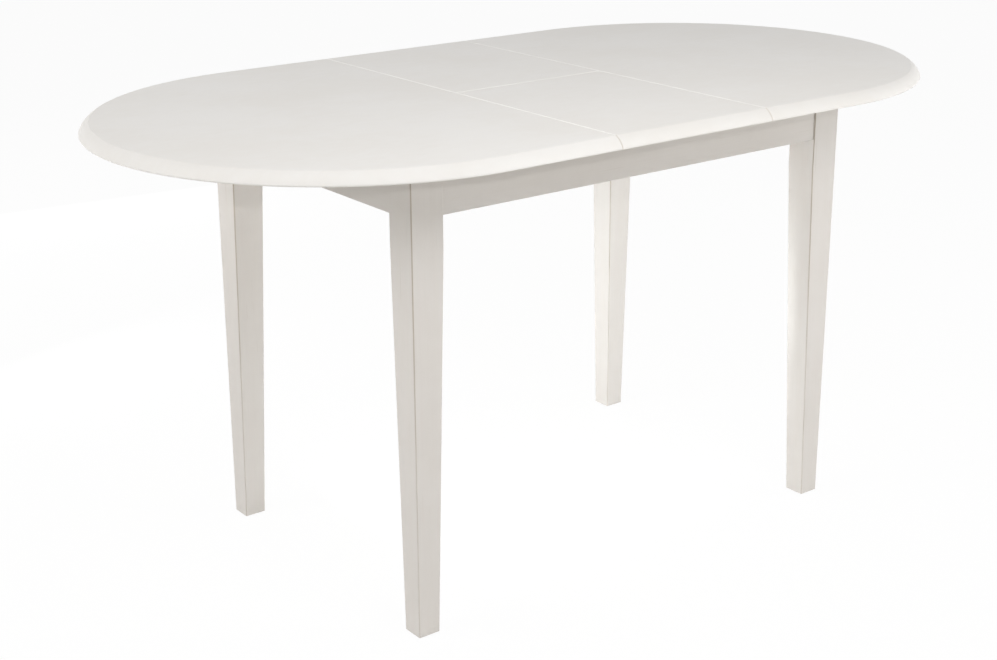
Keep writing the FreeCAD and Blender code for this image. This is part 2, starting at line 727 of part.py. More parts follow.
# Concealed hinges in the fold: slotted sockets in the back half, and barrels in the front half whose
# tongues are sectors about the fold's own line.
sockets, tongues, socket_bores, barrel_bores = [], [], [], []
for number in hinge_numbers:
    middle = f"{number} * hinge_spacing"
    socket_bore = rod(f"socket_bore_{number}", "barrel_diameter", (middle, "fold_face", "barrel_level"),
                      "barrel_length", along_y)
    slot = block(f"socket_slot_{number}", about(middle, "barrel_slot"),
                 ("fold_face - overrun", "fold_face + barrel_slot_depth"),
                 about("barrel_level", "barrel_diameter"))
    sockets.append(cut(f"socket_{number}", socket_bore, [slot]))
    socket_bores += [socket_bore, slot]
    barrel = rod(f"barrel_{number}", "barrel_diameter", (middle, "-fold_face", "barrel_level"),
                 "barrel_length", -along_y)
    hub = (f"{middle} - tongue_width / 2", "0", "fold_level")
    rim = rod(f"tongue_rim_{number}", "2 * tongue_reach", hub, "tongue_width", along_x)
    eye = rod(f"tongue_eye_{number}", "2 * tongue_bore", hub, "tongue_width", along_x)
    window = block(f"tongue_window_{number}", about(middle, "tongue_width"),
                   ("-fold_face", "tongue_reach"), ("fold_level - tongue_reach", "fold_level - tongue_shy"))
    ring = cut(f"tongue_ring_{number}", rim, [eye])
    tongue = doc.addObject("Part::Common", f"tongue_{number}")
    tongue.Base = ring
    tongue.Tool = window
    tongues.append(join(f"hinge_{number}", [barrel, tongue]))
    barrel_bores.append(barrel)
node(group("hinge_sockets", sockets), "fold_hinge_sockets")
node(group("hinge_barrels", tongues), "fold_hinge_barrels")

# Leaf halves, bored for their hinges and for the brackets' screws.
for face, facing, bores in (("front", -1, barrel_bores), ("back", 1, socket_bores + leaf_screws)):
    lips = [seam_groove(f"leaf_{face}_lip_{side}", sign) for side, sign in sides.items()]
    lips.append(fold_groove(f"leaf_{face}_lip_fold"))
    node(cut(f"leaf_{face}", leaf_board(face, facing), lips + bores), f"leaf_{face}")

doc.recompute()
faulty = [item.Name for item in doc.Objects if "Invalid" in item.State or "Error" in item.State]
faulty += [item.Label for item in nodes
           if item.Shape.isNull() or not item.Shape.isValid() or not item.Shape.Solids]
if faulty:
    raise RuntimeError("failed: " + ", ".join(faulty))
os.makedirs("parts", exist_ok=True)
for item in nodes:
    item.Shape.exportStep(f"parts/{item.Label}.step")
print("wrote", len(nodes), "nodes")
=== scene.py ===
import bpy
import bmesh
import math
from mathutils import Matrix, Vector


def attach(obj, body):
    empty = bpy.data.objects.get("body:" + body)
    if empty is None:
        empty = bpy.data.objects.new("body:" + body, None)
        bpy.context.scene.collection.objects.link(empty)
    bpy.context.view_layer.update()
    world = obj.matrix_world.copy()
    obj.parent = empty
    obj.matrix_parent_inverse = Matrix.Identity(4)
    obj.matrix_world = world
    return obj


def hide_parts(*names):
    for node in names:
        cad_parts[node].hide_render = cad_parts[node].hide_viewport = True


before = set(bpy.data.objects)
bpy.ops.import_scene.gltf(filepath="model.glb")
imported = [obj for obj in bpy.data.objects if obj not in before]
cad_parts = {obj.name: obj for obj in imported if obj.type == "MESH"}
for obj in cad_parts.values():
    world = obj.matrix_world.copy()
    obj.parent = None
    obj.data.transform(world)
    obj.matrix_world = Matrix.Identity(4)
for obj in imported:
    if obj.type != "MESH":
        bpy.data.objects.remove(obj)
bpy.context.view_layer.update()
scene = bpy.context.scene
scene.view_settings.view_transform = "Standard"


# shader sums: a socket that can be added, multiplied and so on
class Wire:
    def __init__(self, tree, socket):
        self.tree = tree
        self.socket = socket

    def math(self, operation, first, second):
        made = self.tree.nodes.new("ShaderNodeMath")
        made.operation = operation
        for socket, value in zip(made.inputs, (first, second)):
            plug(self.tree, socket, value)
        return Wire(self.tree, made.outputs[0])

    def __add__(self, other):
        return self.math("ADD", self, other)

    def __radd__(self, other):
        return self.math("ADD", other, self)

    def __sub__(self, other):
        return self.math("SUBTRACT", self, other)

    def __rsub__(self, other):
        return self.math("SUBTRACT", other, self)

    def __mul__(self, other):
        return self.math("MULTIPLY", self, other)

    def __rmul__(self, other):
        return self.math("MULTIPLY", other, self)

    def __pow__(self, other):
        return self.math("POWER", self, other)

    def __rpow__(self, other):
        return self.math("POWER", other, self)


def plug(tree, socket, value):
    if isinstance(value, Wire):
        tree.links.new(value.socket, socket)
    elif hasattr(value, "__len__") and len(value) == 3 and socket.type == "RGBA":
        socket.default_value = (*value, 1)
    else:
        socket.default_value = value


# a material or the world, built node by node
class Finish:
    def __init__(self, owner):
        owner.use_nodes = True
        self.owner = owner
        self.tree = owner.node_tree
        self.tree.nodes.clear()

    def add(self, kind, settings=None, sockets=None, out=0):
        made = self.tree.nodes.new(kind)
        for key, value in (settings or {}).items():
            setattr(made, key, value)
        for key, value in (sockets or {}).items():
            plug(self.tree, made.inputs[key], value)
        return Wire(self.tree, made.outputs[out]) if made.outputs else None

    def place(self, stretch=(1, 1, 1), turn=0.0):  # metres on the part, stretched and turned about Z
        spot = self.add("ShaderNodeTexCoord", out="Object")
        return self.add("ShaderNodeMapping", {"vector_type": "POINT"},
                        {"Vector": spot, "Rotation": (0, 0, turn), "Scale": stretch})

    def noise(self, vector, scale, detail=2.0, rough=0.5):
        sockets = {"Vector": vector, "Scale": scale, "Detail": detail, "Roughness": rough}
        return self.add("ShaderNodeTexNoise", None, sockets, "Fac")

    def grain(self, along, scales, detail=2.0, rough=0.5, turn=0.0):  # scales across the grain and along it
        fine, coarse = scales
        stretch = tuple(coarse if axis == along else fine for axis in "xyz")
        return self.noise(self.place(stretch, turn), 1.0, detail, rough)

    def band(self, value, low, high, start=0.0, end=1.0):  # a smooth step from start to end
        sockets = {"Value": value, "From Min": low, "From Max": high, "To Min": start, "To Max": end}
        return self.add("ShaderNodeMapRange", {"interpolation_type": "SMOOTHSTEP"}, sockets)

    def fade(self, value, low, high):  # a smooth step down to nothing
        return self.band(value, low, high, 1.0, 0.0)

    def blend(self, factor, first, second):
        return self.add("ShaderNodeMix", {"data_type": "RGBA"}, {0: factor, 6: first, 7: second}, 2)

    def axis(self, vector, name):  # one coordinate of a vector
        return self.add("ShaderNodeSeparateXYZ", None, {0: vector}, name)

    def size(self, value):  # a value without its sign
        return self.add("ShaderNodeMath", {"operation": "ABSOLUTE"}, {0: value})

    def edges(self, radius):  # where the rounded normal leaves the face's own
        soft = self.add("ShaderNodeBevel", {"samples": 6}, {"Radius": radius})
        flat = self.add("ShaderNodeNewGeometry", out="True Normal")
        return 1 - self.add("ShaderNodeVectorMath", {"operation": "DOT_PRODUCT"},
                            {0: soft, 1: flat}, "Value")

    def bump(self, height, look, normal=None):
        sockets = {"Height": height, "Strength": look["napStrength"], "Distance": look["napDepth"]}
        if normal:
            sockets["Normal"] = normal
        return self.add("ShaderNodeBump", None, sockets)

    def surface(self, sockets):
        shader = self.add("ShaderNodeBsdfPrincipled", None, sockets)
        self.add("ShaderNodeOutputMaterial", None, {"Surface": shader})
        return self.owner


# finishes: a Band is where a noise or a mask starts and ends its step, then its strength at both
# if it has four numbers; a Show is how strongly it shows; radii and depths are in metres
topLacquer = {
    "cream": (0.806, 0.787, 0.760), "warm": (0.782, 0.757, 0.721),
    "mottleSize": 5.0, "cloudSize": 35.0, "cloudStretch": (1, 2.2, 1), "toneBand": (0.34, 0.66),
    "speckSize": 310.0, "speckBand": (0.70, 0.76), "speckShow": 0.12,
    "under": (0.742, 0.716, 0.664), "underBand": (-0.8, -0.6), "streaks": (6, 150, 6),
    "worn": (0.66, 0.61, 0.54), "wornRadius": 0.0012, "wornBand": (0.03, 0.22), "wornShow": 0.12,
    "upwardBand": (0.93, 0.985), "patchSize": 38.0, "patchBand": (0.42, 0.62),
    "leafHalf": 0.15, "flatReach": 0.383, "seamHalf": 0.0012, "seamFade": 1.3,
    # lip is a painted highlight along the seams, for the light their eased arrises catch
    "seamHighlight": (0.95, 0.93, 0.90), "seamHighlightShow": 0.76, "joint": (0.60, 0.46, 0.33), "jointShow": 0.18,
    "crease": 0.0028, "creaseGap": 0.004, "creaseFade": 1.5,
    "roughness": 0.44, "specular": 0.2, "peelSize": 620.0, "napDepth": 0.00005, "napStrength": 0.35,
}


def fromMiddle(finish):  # how far a point is from the table's middle, along and across
    spot = finish.place()
    return [finish.size(finish.axis(spot, axis)) for axis in "XY"]


def topSeams(finish, look):  # the leaf's two seams and its fold, then the seams' ends in the edge
    along, across = fromMiddle(finish)
    half, reach, width = look["leafHalf"], look["flatReach"], look["seamHalf"]
    seam = finish.fade(finish.size(along - half), width, width * look["seamFade"])
    fold = finish.fade(across, width, width * look["seamFade"]) * finish.fade(along, half, half + width)
    inside = finish.fade(across, reach, reach + width)
    lines = finish.add("ShaderNodeMath", {"operation": "MAXIMUM"}, {0: seam * inside, 1: fold})
    return lines, seam * (1 - inside)


def softCrease(finish, look):  # the coat rounds the crease, but not the crisp lips of the seams
    along, across = fromMiddle(finish)
    gap, far = look["creaseGap"], look["creaseGap"] * look["creaseFade"]
    clear = finish.band(finish.size(along - look["leafHalf"]), gap, far) * finish.band(across, gap, far)
    flat = finish.add("ShaderNodeNewGeometry", out="Normal")
    soft = finish.add("ShaderNodeBevel", {"samples": 8}, {"Radius": look["crease"]})
    return finish.add("ShaderNodeMix", {"data_type": "VECTOR"}, {0: clear, 4: flat, 5: soft}, 1)


def makeTopLacquer(look):
    finish = Finish(bpy.data.materials.new("top_lacquer"))
    spot = finish.place()
    mottle = finish.noise(spot, look["mottleSize"], 4.0, 0.6)
    cloud = finish.noise(finish.place(look["cloudStretch"]), look["cloudSize"], 3.0)
    tone = finish.band(mottle * 0.7 + cloud * 0.3, *look["toneBand"])
    colour = finish.blend(tone, look["warm"], look["cream"])
    specks = finish.band(finish.noise(spot, look["speckSize"]), *look["speckBand"])  # dust in the spray
    colour = finish.blend(specks * look["speckShow"], colour, look["worn"])
    facing = finish.axis(finish.add("ShaderNodeTexCoord", out="Normal"), "Z")
    under = finish.fade(facing, *look["underBand"])  # thin coat on the underside
    streaks = finish.noise(finish.place(look["streaks"]), 1.0, 3.0)
    colour = finish.blend(under * (0.7 + 0.3 * streaks), colour, look["under"])
    upward = finish.band(facing, *look["upwardBand"])
    worn = finish.band(finish.edges(look["wornRadius"]), *look["wornBand"]) * (1 - upward)
    patches = finish.band(finish.noise(spot, look["patchSize"], 3.0), *look["patchBand"])
    colour = finish.blend(worn * patches * look["wornShow"], colour, look["worn"])
    lines, joints = topSeams(finish, look)
    colour = finish.blend(joints * look["jointShow"], colour, look["joint"])
    seamHighlights = lines * (1 - under) * look["seamHighlightShow"]  # painted highlight: pale lines along the seams, standing in for the light that their eased arrises catch
    colour = finish.blend(seamHighlights, colour, look["seamHighlight"])
    roughness = look["roughness"] + 0.10 * (cloud - 0.5) + 0.16 * under + 0.10 * worn
    peel = finish.noise(spot, look["peelSize"], 1.5)
    nap = finish.bump(peel * 0.7 + 0.3 * streaks * under, look, softCrease(finish, look))
    return finish.surface({"Base Color": colour, "Roughness": roughness, "Normal": nap,
                           "Specular IOR Level": look["specular"]})


# painted shade: the frame's colours are the top's cream made darker and a little warmer, for the shade that
# falls on the frame under the top
shadedFrameLacquer = {
    "cream": (0.668, 0.639, 0.607), "warm": (0.640, 0.607, 0.570),
    "mottleSize": 9.0, "toneBand": (0.30, 0.70),
    "stroke": (330.0, 7.0), "broad": (330.0 / 6, 7.0 / 3), "poreBand": (0.63, 0.74), "poreShow": 0.16,
    "worn": (0.40, 0.345, 0.275), "wornRadius": 0.0019, "wornBand": (0.015, 0.14), "wornShow": 0.75,
    "patches": (60, 16), "patchBand": (0.30, 0.62, 0.45, 1.0),
    "joint": (0.375, 0.31, 0.235), "jointBand": (0.06, 0.24), "mitreFadeBand": (0.15, 0.58, 0.26, 0.72),
    "roughness": 0.47, "specular": 0.24, "peelSize": 520.0, "napDepth": 0.00009, "napStrength": 0.4,
}


def makeFrameLacquer(name, along, look):
    finish = Finish(bpy.data.materials.new(name))
    spot = finish.place()
    mottle = finish.noise(spot, look["mottleSize"], 4.0, 0.6)
    stroke = finish.grain(along, look["stroke"], 3.0, 0.55)
    broad = finish.grain(along, look["broad"])
    tone = finish.band(mottle * 0.55 + stroke * 0.25 + broad * 0.20, *look["toneBand"])
    colour = finish.blend(tone, look["warm"], look["cream"])
    pores = finish.band(stroke, *look["poreBand"])  # open grain that the coat has not filled
    colour = finish.blend(pores * look["poreShow"], colour, look["worn"])
    worn = finish.band(finish.edges(look["wornRadius"]), *look["wornBand"])
    patches = finish.band(finish.grain(along, look["patches"], 3.0), *look["patchBand"])
    thin = worn * patches * look["wornShow"]  # coat sanded thin along the arris
    colour = finish.blend(thin, colour, look["worn"])
    normal = finish.add("ShaderNodeNewGeometry", out="True Normal")
    corner = finish.axis(normal, "X") * finish.axis(normal, "Y")
    mitre = finish.band(corner, *look["jointBand"])  # the legs are mitred at two opposite corners
    mitreFade = finish.band(finish.axis(spot, "Z"), *look["mitreFadeBand"])  # the mitre line is fainter lower down the leg and stronger towards its top
    colour = finish.blend(mitre * mitreFade * (0.75 + 0.25 * patches), colour, look["joint"])
    roughness = look["roughness"] + 0.14 * (mottle - 0.5) + 0.10 * pores + 0.10 * worn
    peel = finish.noise(spot, look["peelSize"], 1.5)
    nap = finish.bump(stroke * 0.6 + peel * 0.4, look)
    return finish.surface({"Base Color": colour, "Roughness": roughness, "Normal": nap,
                           "Specular IOR Level": look["specular"]})


hardwood = {
    "pale": (0.600, 0.430, 0.275), "mid": (0.500, 0.335, 0.195), "deep": (0.335, 0.205, 0.110),
    "drift": (9, 2.5), "wander": 0.010, "pith": (0.011, -0.052), "rings": 150.0, "ringDrift": 1.7,
    "lateBand": (0.45, 0.97), "lateShow": 0.42, "fibre": (420, 9), "fibreBand": (0.30, 0.72),
    "fleck": (900, 40), "fleckBand": (0.62, 0.70), "fleckShow": 0.40,
    "grimeSize": 14.0, "grimeBand": (0.52, 0.72), "grimeShow": 0.18,
    "wornRadius": 0.0016, "wornBand": (0.03, 0.25), "wornShow": 0.35,
    "roughness": 0.62, "specular": 0.3, "napDepth": 0.00018, "napStrength": 0.5,
}


def makeHardwood(name, along, turn, look):
    finish = Finish(bpy.data.materials.new(name))
    drift = finish.grain(along, look["drift"], turn=turn)
    spot = finish.place(turn=turn)
    first, second = [finish.axis(spot, axis.upper()) for axis in "xyz" if axis != along]
    across = first + look["pith"][0] + drift * look["wander"]
    depth = second + look["pith"][1] - drift * look["wander"]
    radius = (across * across + depth * depth) ** 0.5
    years = radius * look["rings"] + drift * look["ringDrift"]
    ring = finish.add("ShaderNodeMath", {"operation": "FRACT"}, {0: years})
    late = finish.band(ring, *look["lateBand"])  # dense late wood
    late = late * finish.fade(ring, look["lateBand"][1], 1.0)  # and its sharp end
    fibre = finish.grain(along, look["fibre"], 3.0, 0.6, turn)
    fleck = finish.band(finish.grain(along, look["fleck"], 1.0, turn=turn), *look["fleckBand"])
    colour = finish.blend(finish.band(fibre, *look["fibreBand"]), look["mid"], look["pale"])
    colour = finish.blend(late * look["lateShow"], colour, look["deep"])
    colour = finish.blend(fleck * look["fleckShow"], colour, look["deep"])
    grime = finish.band(finish.noise(finish.place(), look["grimeSize"], 4.0), *look["grimeBand"])
    colour = finish.blend(grime * look["grimeShow"], colour, look["deep"])
    worn = finish.band(finish.edges(look["wornRadius"]), *look["wornBand"])
    colour = finish.blend(worn * look["wornShow"], colour, look["pale"])
    roughness = look["roughness"] + 0.14 * (fibre - 0.5) + 0.10 * fleck - 0.06 * late
    nap = finish.bump(fibre * 0.6 - fleck * 0.5 + late * 0.15, look)
    return finish.surface({"Base Color": colour, "Roughness": roughness, "Normal": nap,
                           "Specular IOR Level": look["specular"]})


zinc = {
    "bright": (0.70, 0.71, 0.72), "dull": (0.47, 0.485, 0.50), "rubbed": (0.82, 0.82, 0.82),
    "spangle": 260.0, "cloudSize": 60.0, "toneBand": (0.25, 0.75),
    "scratch": (1400, 60), "scratchBand": (0.60, 0.72),
    "rubRadius": 0.0008, "rubBand": (0.02, 0.2), "rubShow": 0.6,
    "roughness": 0.36, "napDepth": 0.00008, "napStrength": 0.25,
}


def makeZinc(look):
    finish = Finish(bpy.data.materials.new("zinc_plate_rolled"))
    spot = finish.place()
    cells = finish.add("ShaderNodeTexVoronoi", {"feature": "F1"},
                       {"Vector": spot, "Scale": look["spangle"]}, "Color")
    shade = finish.add("ShaderNodeRGBToBW", None, {0: cells})
    cloud = finish.noise(spot, look["cloudSize"], 4.0, 0.65)
    scratch = finish.band(finish.grain("y", look["scratch"]), *look["scratchBand"])
    tone = finish.band(shade * 0.30 + cloud * 0.70, *look["toneBand"])
    colour = finish.blend(tone, look["dull"], look["bright"])
    rub = finish.band(finish.edges(look["rubRadius"]), *look["rubBand"])
    colour = finish.blend(rub * look["rubShow"], colour, look["rubbed"])
    roughness = look["roughness"] + 0.22 * (cloud - 0.4) + 0.10 * scratch - 0.10 * rub
    nap = finish.bump(cloud * 0.7 + scratch * 0.3, look)
    return finish.surface({"Base Color": colour, "Metallic": 1.0, "Roughness": roughness, "Normal": nap})


turned = {  # what steel and brass from the lathe share
    "cloudSize": 260.0, "lathe": (2600, 300), "toneBand": (0.34, 0.66),
    "rubRadius": 0.0005, "rubBand": (0.02, 0.2), "rubShow": 0.5, "napDepth": 0.00004, "napStrength": 0.2,
}
steel = {**turned, "bright": (0.66, 0.665, 0.67), "dull": (0.36, 0.36, 0.36), "roughness": 0.30}
brass = {**turned, "bright": (0.78, 0.59, 0.28), "dull": (0.42, 0.29, 0.12), "roughness": 0.32}


def makeTurnedMetal(name, look):
    finish = Finish(bpy.data.materials.new(name))
    cloud = finish.noise(finish.place(), look["cloudSize"], 4.0, 0.6)
    lathe = finish.grain("z", look["lathe"])
    tone = finish.band(cloud * 0.75 + lathe * 0.25, *look["toneBand"])
    colour = finish.blend(tone, look["dull"], look["bright"])
    rub = finish.band(finish.edges(look["rubRadius"]), *look["rubBand"])
    colour = finish.blend(rub * look["rubShow"], colour, look["bright"])
    roughness = look["roughness"] + 0.24 * (cloud - 0.45) - 0.08 * rub
    nap = finish.bump(lathe, look)
    return finish.surface({"Base Color": colour, "Metallic": 1.0, "Roughness": roughness, "Normal": nap})


nylon = {
    "clean": (0.70, 0.69, 0.66), "scuffed": (0.42, 0.40, 0.37), "scuff": (1500, 140),
    "scuffBand": (0.44, 0.72), "scuffShow": 0.75, "soleBand": (0.0, 0.0012, 1.0, 0.25),
    "grainSize": 1500.0, "roughness": 0.48, "napDepth": 0.00008, "napStrength": 0.3,
}


def makeNylon(look):
    finish = Finish(bpy.data.materials.new("nylon_moulded"))
    spot = finish.place()
    scuff = finish.band(finish.grain("y", look["scuff"], 4.0, 0.65), *look["scuffBand"])
    low = finish.band(finish.axis(spot, "Z"), *look["soleBand"])  # the sole is dragged over floors
    grain = finish.noise(spot, look["grainSize"])
    colour = finish.blend(scuff * low * look["scuffShow"], look["clean"], look["scuffed"])
    roughness = look["roughness"] + 0.28 * scuff * low + 0.08 * (grain - 0.5)
    nap = finish.bump(grain * 0.4 + scuff * 0.6, look)
    return finish.surface({"Base Color": colour, "Roughness": roughness, "Normal": nap})


rubber = {
    "body": (0.035, 0.035, 0.037), "bloom": (0.095, 0.093, 0.090), "bloomSize": 420.0,
    "bloomBand": (0.40, 0.75), "bloomShow": 0.7, "grainSize": 2600.0,
    "roughness": 0.78, "specular": 0.35, "napDepth": 0.00008, "napStrength": 0.35,
}


def makeRubber(look):
    finish = Finish(bpy.data.materials.new("buffer_rubber_moulded"))
    spot = finish.place()
    bloom = finish.band(finish.noise(spot, look["bloomSize"], 4.0, 0.6), *look["bloomBand"])
    colour = finish.blend(bloom * look["bloomShow"], look["body"], look["bloom"])
    roughness = look["roughness"] + 0.14 * (bloom - 0.5)
    nap = finish.bump(finish.noise(spot, look["grainSize"]), look)
    return finish.surface({"Base Color": colour, "Roughness": roughness, "Normal": nap,
                           "Specular IOR Level": look["specular"]})


felt = {
    "light": (0.215, 0.195, 0.175), "dark": (0.095, 0.085, 0.078), "tuftSize": 900.0,
    "tuftStretch": (1, 1, 1.6), "hair": (2600, 500), "fluffBand": (0.32, 0.68),
    "roughness": 0.95, "specular": 0.1, "sheen": 0.35, "sheenRoughness": 0.6,
    "napDepth": 0.0004, "napStrength": 0.8,
}


def makeFelt(look):
    finish = Finish(bpy.data.materials.new("felt_pressed"))
    tuft = finish.noise(finish.place(look["tuftStretch"]), look["tuftSize"], 4.0, 0.7)
    hair = finish.grain("y", look["hair"], 3.0, 0.6)
    fluff = finish.band(tuft * 0.6 + hair * 0.4, *look["fluffBand"])
    colour = finish.blend(fluff, look["dark"], look["light"])
    return finish.surface({"Base Color": colour, "Roughness": look["roughness"],
                           "Normal": finish.bump(fluff, look), "Specular IOR Level": look["specular"],
                           "Sheen Weight": look["sheen"], "Sheen Roughness": look["sheenRoughness"]})


# which finish each node of the frame takes
turnBrace = {"front_left": -1, "back_right": -1, "front_right": 1, "back_left": 1}
finishes = {
    "top": makeTopLacquer(topLacquer),
    "upright": makeFrameLacquer("leg_lacquer_painted_shade", "z", shadedFrameLacquer),
    "longways": makeFrameLacquer("long_apron_lacquer_painted_shade", "x", shadedFrameLacquer),
    "crossways": makeFrameLacquer("end_apron_lacquer_painted_shade", "y", shadedFrameLacquer),
    "railWood": makeHardwood("rail_hardwood", "x", 0.0, hardwood),
    "crossWood": makeHardwood("cross_hardwood", "y", 0.0, hardwood),
    "braceWood": makeHardwood("brace_hardwood", "x", math.radians(45), hardwood),
    "braceWoodTurned": makeHardwood("brace_hardwood_turned", "x", math.radians(-45), hardwood),
    "zinc": makeZinc(zinc),
    "steel": makeTurnedMetal("fastener_steel", steel),
    "brass": makeTurnedMetal("hinge_brass_turned", brass),
    "nylon": makeNylon(nylon),
    "rubber": makeRubber(rubber),
    "felt": makeFelt(felt),
}
finishByStart = {
    "fold_hinge": "brass", "foot_glide": "nylon", "slide_buffers": "rubber", "leaf_rest_pads": "felt",
}


def finishFor(node):
    if node.startswith(("top_end", "leaf_front", "leaf_back")):
        return "top"
    if node.startswith("leg_") and node.split("_", 1)[1] in turnBrace:
        return "upright"
    if node.startswith("apron_"):
        return "longways" if node.endswith(("front", "back")) else "crossways"
    if node.startswith(("slide_rail_front", "slide_rail_back", "runner_left", "runner_right")):
        return "railWood"
    if node in ("cross_rail_left", "cross_rail_right"):
        return "crossWood"
    if node.startswith("corner_brace_") and not node.endswith("screws"):
        return "braceWood" if turnBrace[node[len("corner_brace_"):]] > 0 else "braceWoodTurned"
    if node.startswith(("inner_arm", "outer_arm", "cross_rail_angles")):
        return "zinc"
    if node.startswith("leaf_bracket_") and not node.endswith(("pins", "screws")):
        return "zinc"
    for start, finish in finishByStart.items():
        if node.startswith(start):
            return finish
    return "steel"


for node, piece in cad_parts.items():
    for index in range(len(piece.data.materials)):
        piece.data.materials[index] = finishes[finishFor(node)]
print("finishes:", len(finishes), "on", len(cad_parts), "nodes")


# small parts, remade in detail where the frame has plain solids
smallParts = {"weld": 1e-6, "close": 1e-5, "sharpAngle": 38}


def solidsOf(node):  # each separate solid of a node, as its points
    mesh = bmesh.new()
    mesh.from_mesh(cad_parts[node].data)
    bmesh.ops.remove_doubles(mesh, verts=mesh.verts, dist=smallParts["weld"])
    mesh.verts.index_update()
    seen, solids = set(), []
    for first in mesh.verts:
        if first.index in seen:
            continue
        seen.add(first.index)
        chain = [first]
        for vert in chain:  # the list grows as neighbours are found
            for edge in vert.link_edges:
                other = edge.other_vert(vert)
                if other.index not in seen:
                    seen.add(other.index)
                    chain.append(other)
        solids.append([vert.co.copy() for vert in chain])
    mesh.free()
    return solids


def boxOf(points):
    return [Vector([pick(point[axis] for point in points) for axis in range(3)]) for pick in (min, max)]


def longWay(points):
    low, high = boxOf(points)
    spans = list(high - low)
    return Vector([1.0 if axis == spans.index(max(spans)) else 0.0 for axis in range(3)])


def seat(points, axis):  # a place whose Z runs from the solid's wide end, and the solid's length
    axis = Vector(axis).normalized()
    low, high = boxOf(points)
    middle = (low + high) / 2
    along = [axis.dot(point - middle) for point in points]
    start, end = min(along), max(along)
    reach = {edge: max((point - middle - axis * span).length for point, span in zip(points, along)
                       if abs(span - edge) < smallParts["close"]) for edge in (start, end)}
    if reach[end] > reach[start] + smallParts["close"]:
        axis, start, end = -axis, -end, -start
    turn = axis.to_track_quat("Z", "X").to_matrix().to_4x4()
    return Matrix.Translation(middle + axis * start) @ turn, end - start


def even(radius):
    return lambda turn: radius


def helix(core, crest, pitch, height):  # the radius of a thread at one height
    def reach(turn):
        share = (height / pitch - turn / math.tau) % 1
        return core + (crest - core) * (1 - abs(2 * share - 1))
    return reach


def threadLevels(core, crest, pitch, start, step, counts):
    heights = [start + count * step for count in counts]
    return [(height, helix(core, crest, pitch, height)) for height in heights]


def tower(mesh, place, sides, levels):  # rings joined one to the next
    turns = [math.tau * step / sides for step in range(sides)]
    rings = []
    for height, reach in levels:
        spots = [(reach(turn) * math.cos(turn), reach(turn) * math.sin(turn), height) for turn in turns]
        rings.append([mesh.verts.new(place @ Vector(spot)) for spot in spots])
    for first, second in zip(rings, rings[1:]):
        bridge(mesh, first, second)
    return rings


def bridge(mesh, first, second):
    for step in range(len(first)):
        mesh.faces.new((first[step - 1], first[step], second[step], second[step - 1]))


def cap(mesh, place, loop, height):
    tip = mesh.verts.new(place @ Vector((0, 0, height)))
    for step in range(len(loop)):
        mesh.faces.new((loop[step - 1], loop[step], tip))


def sink(mesh, place, rim, corners, shift, share, depth, dip=1.2):  # a driver recess in a head
    mouth, floor = [[mesh.verts.new(place @ Vector((*(corner * scale), height))) for corner in corners]
                    for scale, height in ((1.0, 0.0), (share, depth))]
    ratio = len(rim) // len(corners)
    for step, corner in enumerate(mouth):
        ahead = mouth[(step + 1) % len(mouth)]
        steps = [rim[(ratio * step + shift + count) % len(rim)] for count in range(ratio + 1)]
        half = ratio // 2
        mesh.faces.new((corner, steps[half], ahead))
        for count in range(ratio):
            mesh.faces.new((corner if count < half else ahead, steps[count], steps[count + 1]))
    bridge(mesh, mouth, floor)
    cap(mesh, place, floor, depth * dip)


def addPiece(name, mesh, finish, body, node):
    bmesh.ops.recalc_face_normals(mesh, faces=mesh.faces)
    data = bpy.data.meshes.new(name)
    mesh.to_mesh(data)
    mesh.free()
    data.shade_smooth()
    data.set_sharp_from_angle(angle=math.radians(smallParts["sharpAngle"]))
    data.materials.append(finishes[finish])
    piece = bpy.data.objects.new(name, data)
    scene.collection.objects.link(piece)
    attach(piece, body)
    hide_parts(node)


screwLook = {  # rim: heights and shares of the head, tip: shares of the point and the core
    "head": 0.004, "headHeight": 0.0024, "rim": ((0.0, 0.955), (0.0001, 0.975)), "plainShare": 0.3,
    "shank": 0.002, "core": 0.0013, "pitch": 0.0022, "turnSteps": 4, "point": 0.0035, "tip": (0.2, 0.4),
    "cross": 0.0021, "crossHalf": 0.00055, "crossDepth": 0.0014, "crossFloor": 0.5, "sides": 24,
}
screwSets = {
    "corner_brace_screws": "base", "slide_rail_screws": "base", "cross_rail_screws": "base",
    "runner_screws_left": "left_end", "runner_screws_right": "right_end",
    "leaf_bracket_screws": "leaf_back",
}


def crossCorners(look):
    reach, half = look["cross"], look["crossHalf"]
    spins = [Matrix.Rotation(quarter * math.pi / 2, 2) for quarter in range(4)]
    return [spin @ Vector(corner) for spin in spins
            for corner in ((reach, -half), (reach, half), (half, half))]


def makeScrew(mesh, place, length, look):
    plain = look["headHeight"] + look["plainShare"] * (length - look["headHeight"])
    levels = [(height, even(look["head"] * share)) for height, share in look["rim"]]
    levels += [(look["headHeight"], even(look["shank"])), (plain, even(look["shank"]))]
    step = look["pitch"] / look["turnSteps"]
    counts = range(1, int((length - look["point"] - plain) / step) + 1)
    levels += threadLevels(look["core"], look["shank"], look["pitch"], plain, step, counts)
    levels.append((length - look["point"] * look["tip"][0], even(look["core"] * look["tip"][1])))
    rings = tower(mesh, place, look["sides"], levels)
    cap(mesh, place, rings[-1], length)
    sink(mesh, place, rings[0], crossCorners(look), -1, look["crossFloor"], look["crossDepth"])


for node, body in screwSets.items():
    mesh = bmesh.new()
    for points in solidsOf(node):
        makeScrew(mesh, *seat(points, longWay(points)), screwLook)
    addPiece("crosshead_" + node, mesh, "steel", body, node)


pivotLook = {  # dome: shares of the head's height and radius
    "dome": ((0.0, 0.66), (0.16, 0.80), (0.42, 0.93), (0.75, 1.0), (1.0, 1.0)),
    "shank": 0.004, "socket": 0.0028, "socketShare": 0.6, "lead": 0.0003, "sides": 24,
}
pivotSets = {"arm_pivot_bolts": "base", "leaf_bracket_pins": "leaf_back"}


